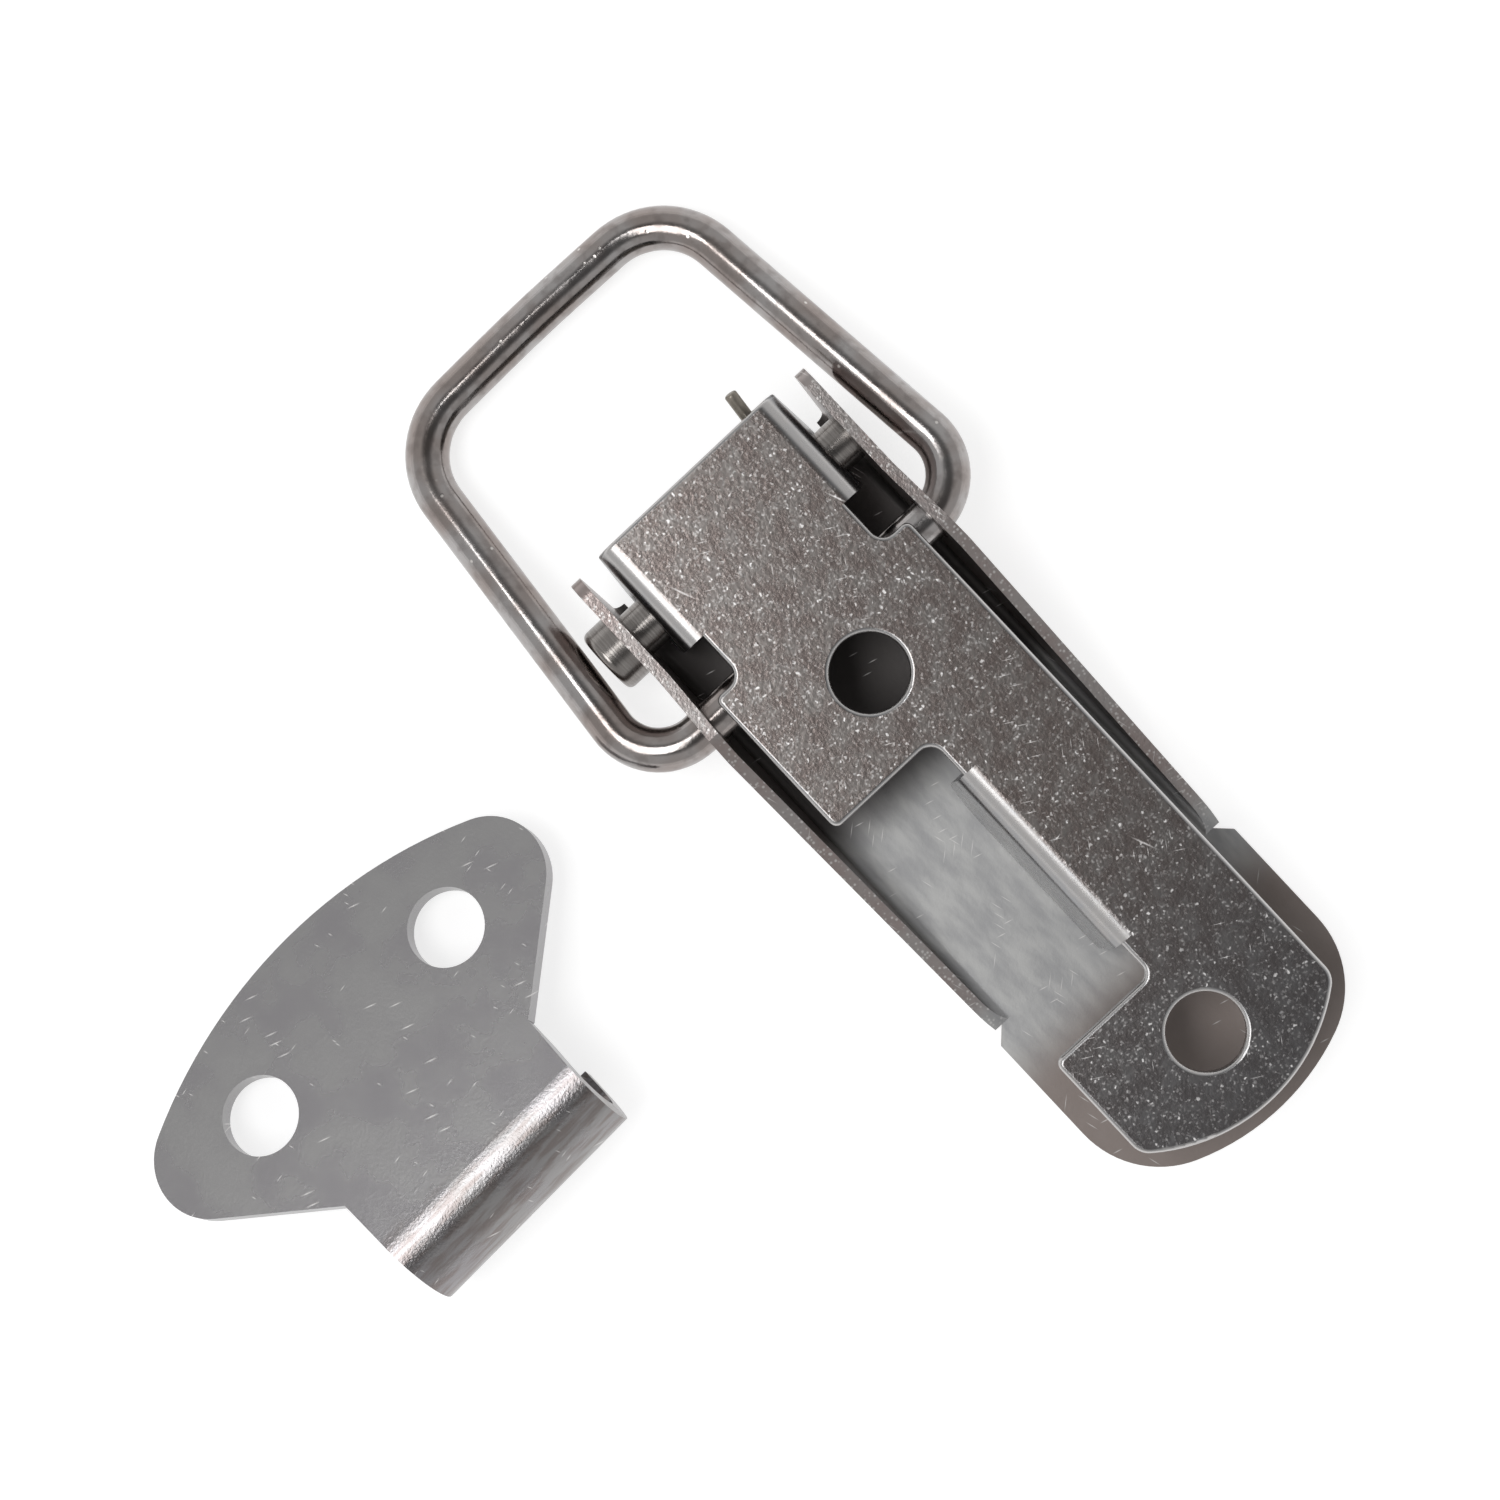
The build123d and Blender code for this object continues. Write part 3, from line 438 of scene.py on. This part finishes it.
# Satin nickel on pressed sheet: a grain 0.22 mm wide that frays the edges of reflections, faint clouds
# 4 mm wide and sparse short scratches. The curl is brown in streaks.
satin_nickel, tree, place = new_metal("satin_nickel_on_pressed_steel")
along, _, _ = add(tree, "SeparateXYZ", {0: place})
grain = {"Vector": place, "Scale": 1 / 0.00022, "Detail": 2.0, "Roughness": 0.6}
grain = add(tree, "TexNoise", grain)["Fac"]
clouds = add(tree, "TexNoise", {"Vector": place, "Scale": 1 / 0.004, "Detail": 3.0})["Fac"]
ticks = scratches(
    tree, place,
    (72, 0.009, 0.0009, 0.07, 0.35),
    (100, 0.006, 0.0007, 0.06, 0.25),
    (20, 0.004, 0.0008, 0.06, 0.25),
)
curl = {0: along, 1: CURL_X - 0.001, 2: CURL_X + 0.001}
curl = add(tree, "MapRange", curl, interpolation_type="SMOOTHSTEP")[0]
turn = (0.0, 0.0, radians(CURL_HEADING))
streaks = {"Vector": place, "Rotation": turn, "Scale": (0.0004, 0.003, 0.0004)}
streaks = add(tree, "Mapping", streaks, vector_type="TEXTURE")[0]
streaks = add(tree, "TexNoise", {"Vector": streaks, "Scale": 1.0, "Detail": 3.0})["Fac"]
streaks = {0: streaks, 1: 0.4, 2: 0.65, 3: 0.1, 4: 0.65}
streaks = add(tree, "MapRange", streaks, interpolation_type="SMOOTHSTEP")[0]
streaks = add(tree, "Math", {0: streaks, 1: curl}, operation="MULTIPLY")[0]
mottle = add(tree, "MapRange", {0: clouds, 1: 0.35, 2: 0.65}, interpolation_type="SMOOTHSTEP")[0]
tint = add(tree, "Mix", {0: mottle, 6: "969496", 7: "979696"}, data_type="RGBA")[2]
tint = add(tree, "Mix", {0: streaks, 6: tint, 7: "786D69"}, data_type="RGBA")[2]
bright = add(tree, "Math", {0: ticks, 1: 0.75}, operation="MULTIPLY")[0]
tint = add(tree, "Mix", {0: bright, 6: tint, 7: "E6E4E2"}, data_type="RGBA")[2]
dull = {0: clouds, 1: 0.3, 2: 0.7, 3: 0.24, 4: 0.30}
dull = add(tree, "MapRange", dull, interpolation_type="SMOOTHSTEP")[0]
dull = add(tree, "Math", {0: ticks, 1: 0.2, 2: dull}, operation="MULTIPLY_ADD")[0]
rough_curl = add(tree, "MapRange", {0: curl, 3: 0.4}, interpolation_type="SMOOTHSTEP")[0]
relief = add(tree, "Bump", {"Height": grain, "Strength": rough_curl, "Distance": 0.00002})[0]
finish_metal(tree, Base_Color=tint, Roughness=dull, Normal=relief)
wear(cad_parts["catch_plate"], satin_nickel)


# ---- Table, light and camera ----
# White paper under the latch, one softbox above its left side, and a pale grey tent all round it whose
# crown is dark. The level faces mirror the crown, and the rims and bends mirror the tent and the paper.

TABLE_Z = -0.00982           # just under the back of the lever and the hook
TABLE_HALF = 4.0
PAPER_GLOW = 0.7             # what the paper gives where it is seen, on top of the light that it scatters
TENT_R = 2.0
TENT_FOOT = 14               # degrees above the table where the tent starts
CROWN_START, CROWN_END = 50, 72   # degrees between which its brightness falls
SIDE_GLOW, CROWN_GLOW = 0.65, 0.12


def stage_mesh(name, corners, faces):
    """Mesh object at the origin that is part of the studio."""
    mesh = bpy.data.meshes.new(name)
    mesh.from_pydata(corners.tolist(), [], faces)
    piece = bpy.data.objects.new(name, mesh)
    bpy.context.scene.collection.objects.link(piece)
    return piece


def new_stage_material(name):
    """Empty material of the studio and its node tree."""
    material = bpy.data.materials.new(name)
    material.use_nodes = True
    material.node_tree.nodes.clear()
    return material, material.node_tree


def seen_directly(tree):
    """1 for camera, glossy and transmission rays, 0 for the rest."""
    path = add(tree, "LightPath")
    seen = {0: path["Is Camera Ray"], 1: path["Is Glossy Ray"]}
    seen = add(tree, "Math", seen, operation="MAXIMUM")[0]
    return add(tree, "Math", {0: seen, 1: path["Is Transmission Ray"]}, operation="MAXIMUM")[0]


# Matt white paper. It takes the latch's shadow, and is as bright as the background where it is seen.
square = np.array([(-1, -1, 0), (1, -1, 0), (1, 1, 0), (-1, 1, 0)]) * TABLE_HALF
table = stage_mesh("table", square + (0, 0, TABLE_Z), [(0, 1, 2, 3)])
paper, tree = new_stage_material("white_paper")
matt = add(tree, "BsdfDiffuse", {"Color": "BFBFBF"})[0]
glow = add(tree, "Emission", {"Color": "FFFFFF", "Strength": PAPER_GLOW})[0]
dark = add(tree, "Emission", {"Color": "000000", "Strength": 0.0})[0]
lift = add(tree, "MixShader", {0: seen_directly(tree), 1: dark, 2: glow})[0]
both = add(tree, "AddShader", {0: matt, 1: lift})[0]
add(tree, "OutputMaterial", {"Surface": both})
wear(table, paper)

# The tent is a ball about the latch: (cos(h) cos(b), cos(h) sin(b), sin(h)) times its radius, for each
# height h from its foot to the top and each bearing b. Its cloth is bright at the sides and dark on top.
height = np.radians(np.linspace(TENT_FOOT, 89.5, 40))
bearing = np.radians(np.arange(0, 360, 6))
h, b = np.meshgrid(height, bearing, indexing="ij")
ball = np.stack([np.cos(h) * np.cos(b), np.cos(h) * np.sin(b), np.sin(h)], -1) * TENT_R
i, j = np.meshgrid(np.arange(len(height) - 1), np.arange(len(bearing)), indexing="ij")
k = (j + 1) % len(bearing)
quads = np.stack([i, i, i + 1, i + 1], -1) * len(bearing) + np.stack([j, k, k, j], -1)
tent = stage_mesh("tent", ball.reshape(-1, 3), quads.reshape(-1, 4).tolist())
cloth, tree = new_stage_material("grey_tent_cloth")
place = add(tree, "TexCoord")["Object"]
up = add(tree, "SeparateXYZ", {0: place})["Z"]
fall = (TENT_R * sin(radians(CROWN_START)), TENT_R * sin(radians(CROWN_END)))
shade = {0: up, 1: fall[0], 2: fall[1], 3: SIDE_GLOW, 4: CROWN_GLOW}
shade = add(tree, "MapRange", shade, interpolation_type="SMOOTHSTEP")[0]
lit = add(tree, "Emission", {"Color": "FFFFFF", "Strength": shade})[0]
add(tree, "OutputMaterial", {"Surface": lit})
wear(tent, cloth)

# White all round beyond the tent and the table.
world = bpy.data.worlds.new("white_surround")
bpy.context.scene.world = world
world.use_nodes = True
tree = world.node_tree
tree.nodes.clear()
fill = add(tree, "Background", {"Color": "FFFFFF", "Strength": 0.9})[0]
white = add(tree, "Background", {"Color": "FFFFFF", "Strength": 1.0})[0]
surround = add(tree, "MixShader", {0: seen_directly(tree), 1: fill, 2: white})[0]
add(tree, "OutputWorld", {"Surface": surround})

# The softbox faces the latch. A lamp's power is pi times its area times the radiance that it is seen at.
BOX_WIDTH, BOX_HEIGHT = 0.28, 0.20
BOX_RADIANCE = 5.0
BOX_BEARING, BOX_ABOVE = radians(236), radians(68)
BOX_AWAY = 0.5
lamp = bpy.data.lights.new("softbox", "AREA")
lamp.shape = "RECTANGLE"
lamp.size, lamp.size_y = BOX_WIDTH, BOX_HEIGHT
lamp.energy = pi * BOX_WIDTH * BOX_HEIGHT * BOX_RADIANCE
away = Vector((cos(BOX_BEARING) * cos(BOX_ABOVE), sin(BOX_BEARING) * cos(BOX_ABOVE), sin(BOX_ABOVE)))
softbox = bpy.data.objects.new("softbox", lamp)
softbox.location = away * BOX_AWAY
softbox.rotation_euler = away.to_track_quat("Z", "Y").to_euler()
softbox.visible_camera = False
bpy.context.scene.collection.objects.link(softbox)

# The camera stands almost straight above, turned so that the latch runs down to the right.
EYE = Vector((-0.0177, -0.00013, 0.260))
AIM = Vector((-0.0177, -0.00915, 0.0))
TURN = radians(46.9)
camera = bpy.data.cameras.new("camera")
camera.sensor_width = 36.0
camera.lens = 95.66
camera.clip_start = 0.001
holder = bpy.data.objects.new("camera", camera)
backward = (EYE - AIM).normalized()
rightward = Vector((cos(TURN), sin(TURN), 0.0))
rightward = (rightward - rightward.dot(backward) * backward).normalized()
upward = backward.cross(rightward)
facing = Matrix((rightward, upward, backward)).transposed().to_4x4()
holder.matrix_world = Matrix.Translation(EYE) @ facing
bpy.context.scene.collection.objects.link(holder)
bpy.context.scene.camera = holder
bpy.context.scene.view_settings.view_transform = "Standard"
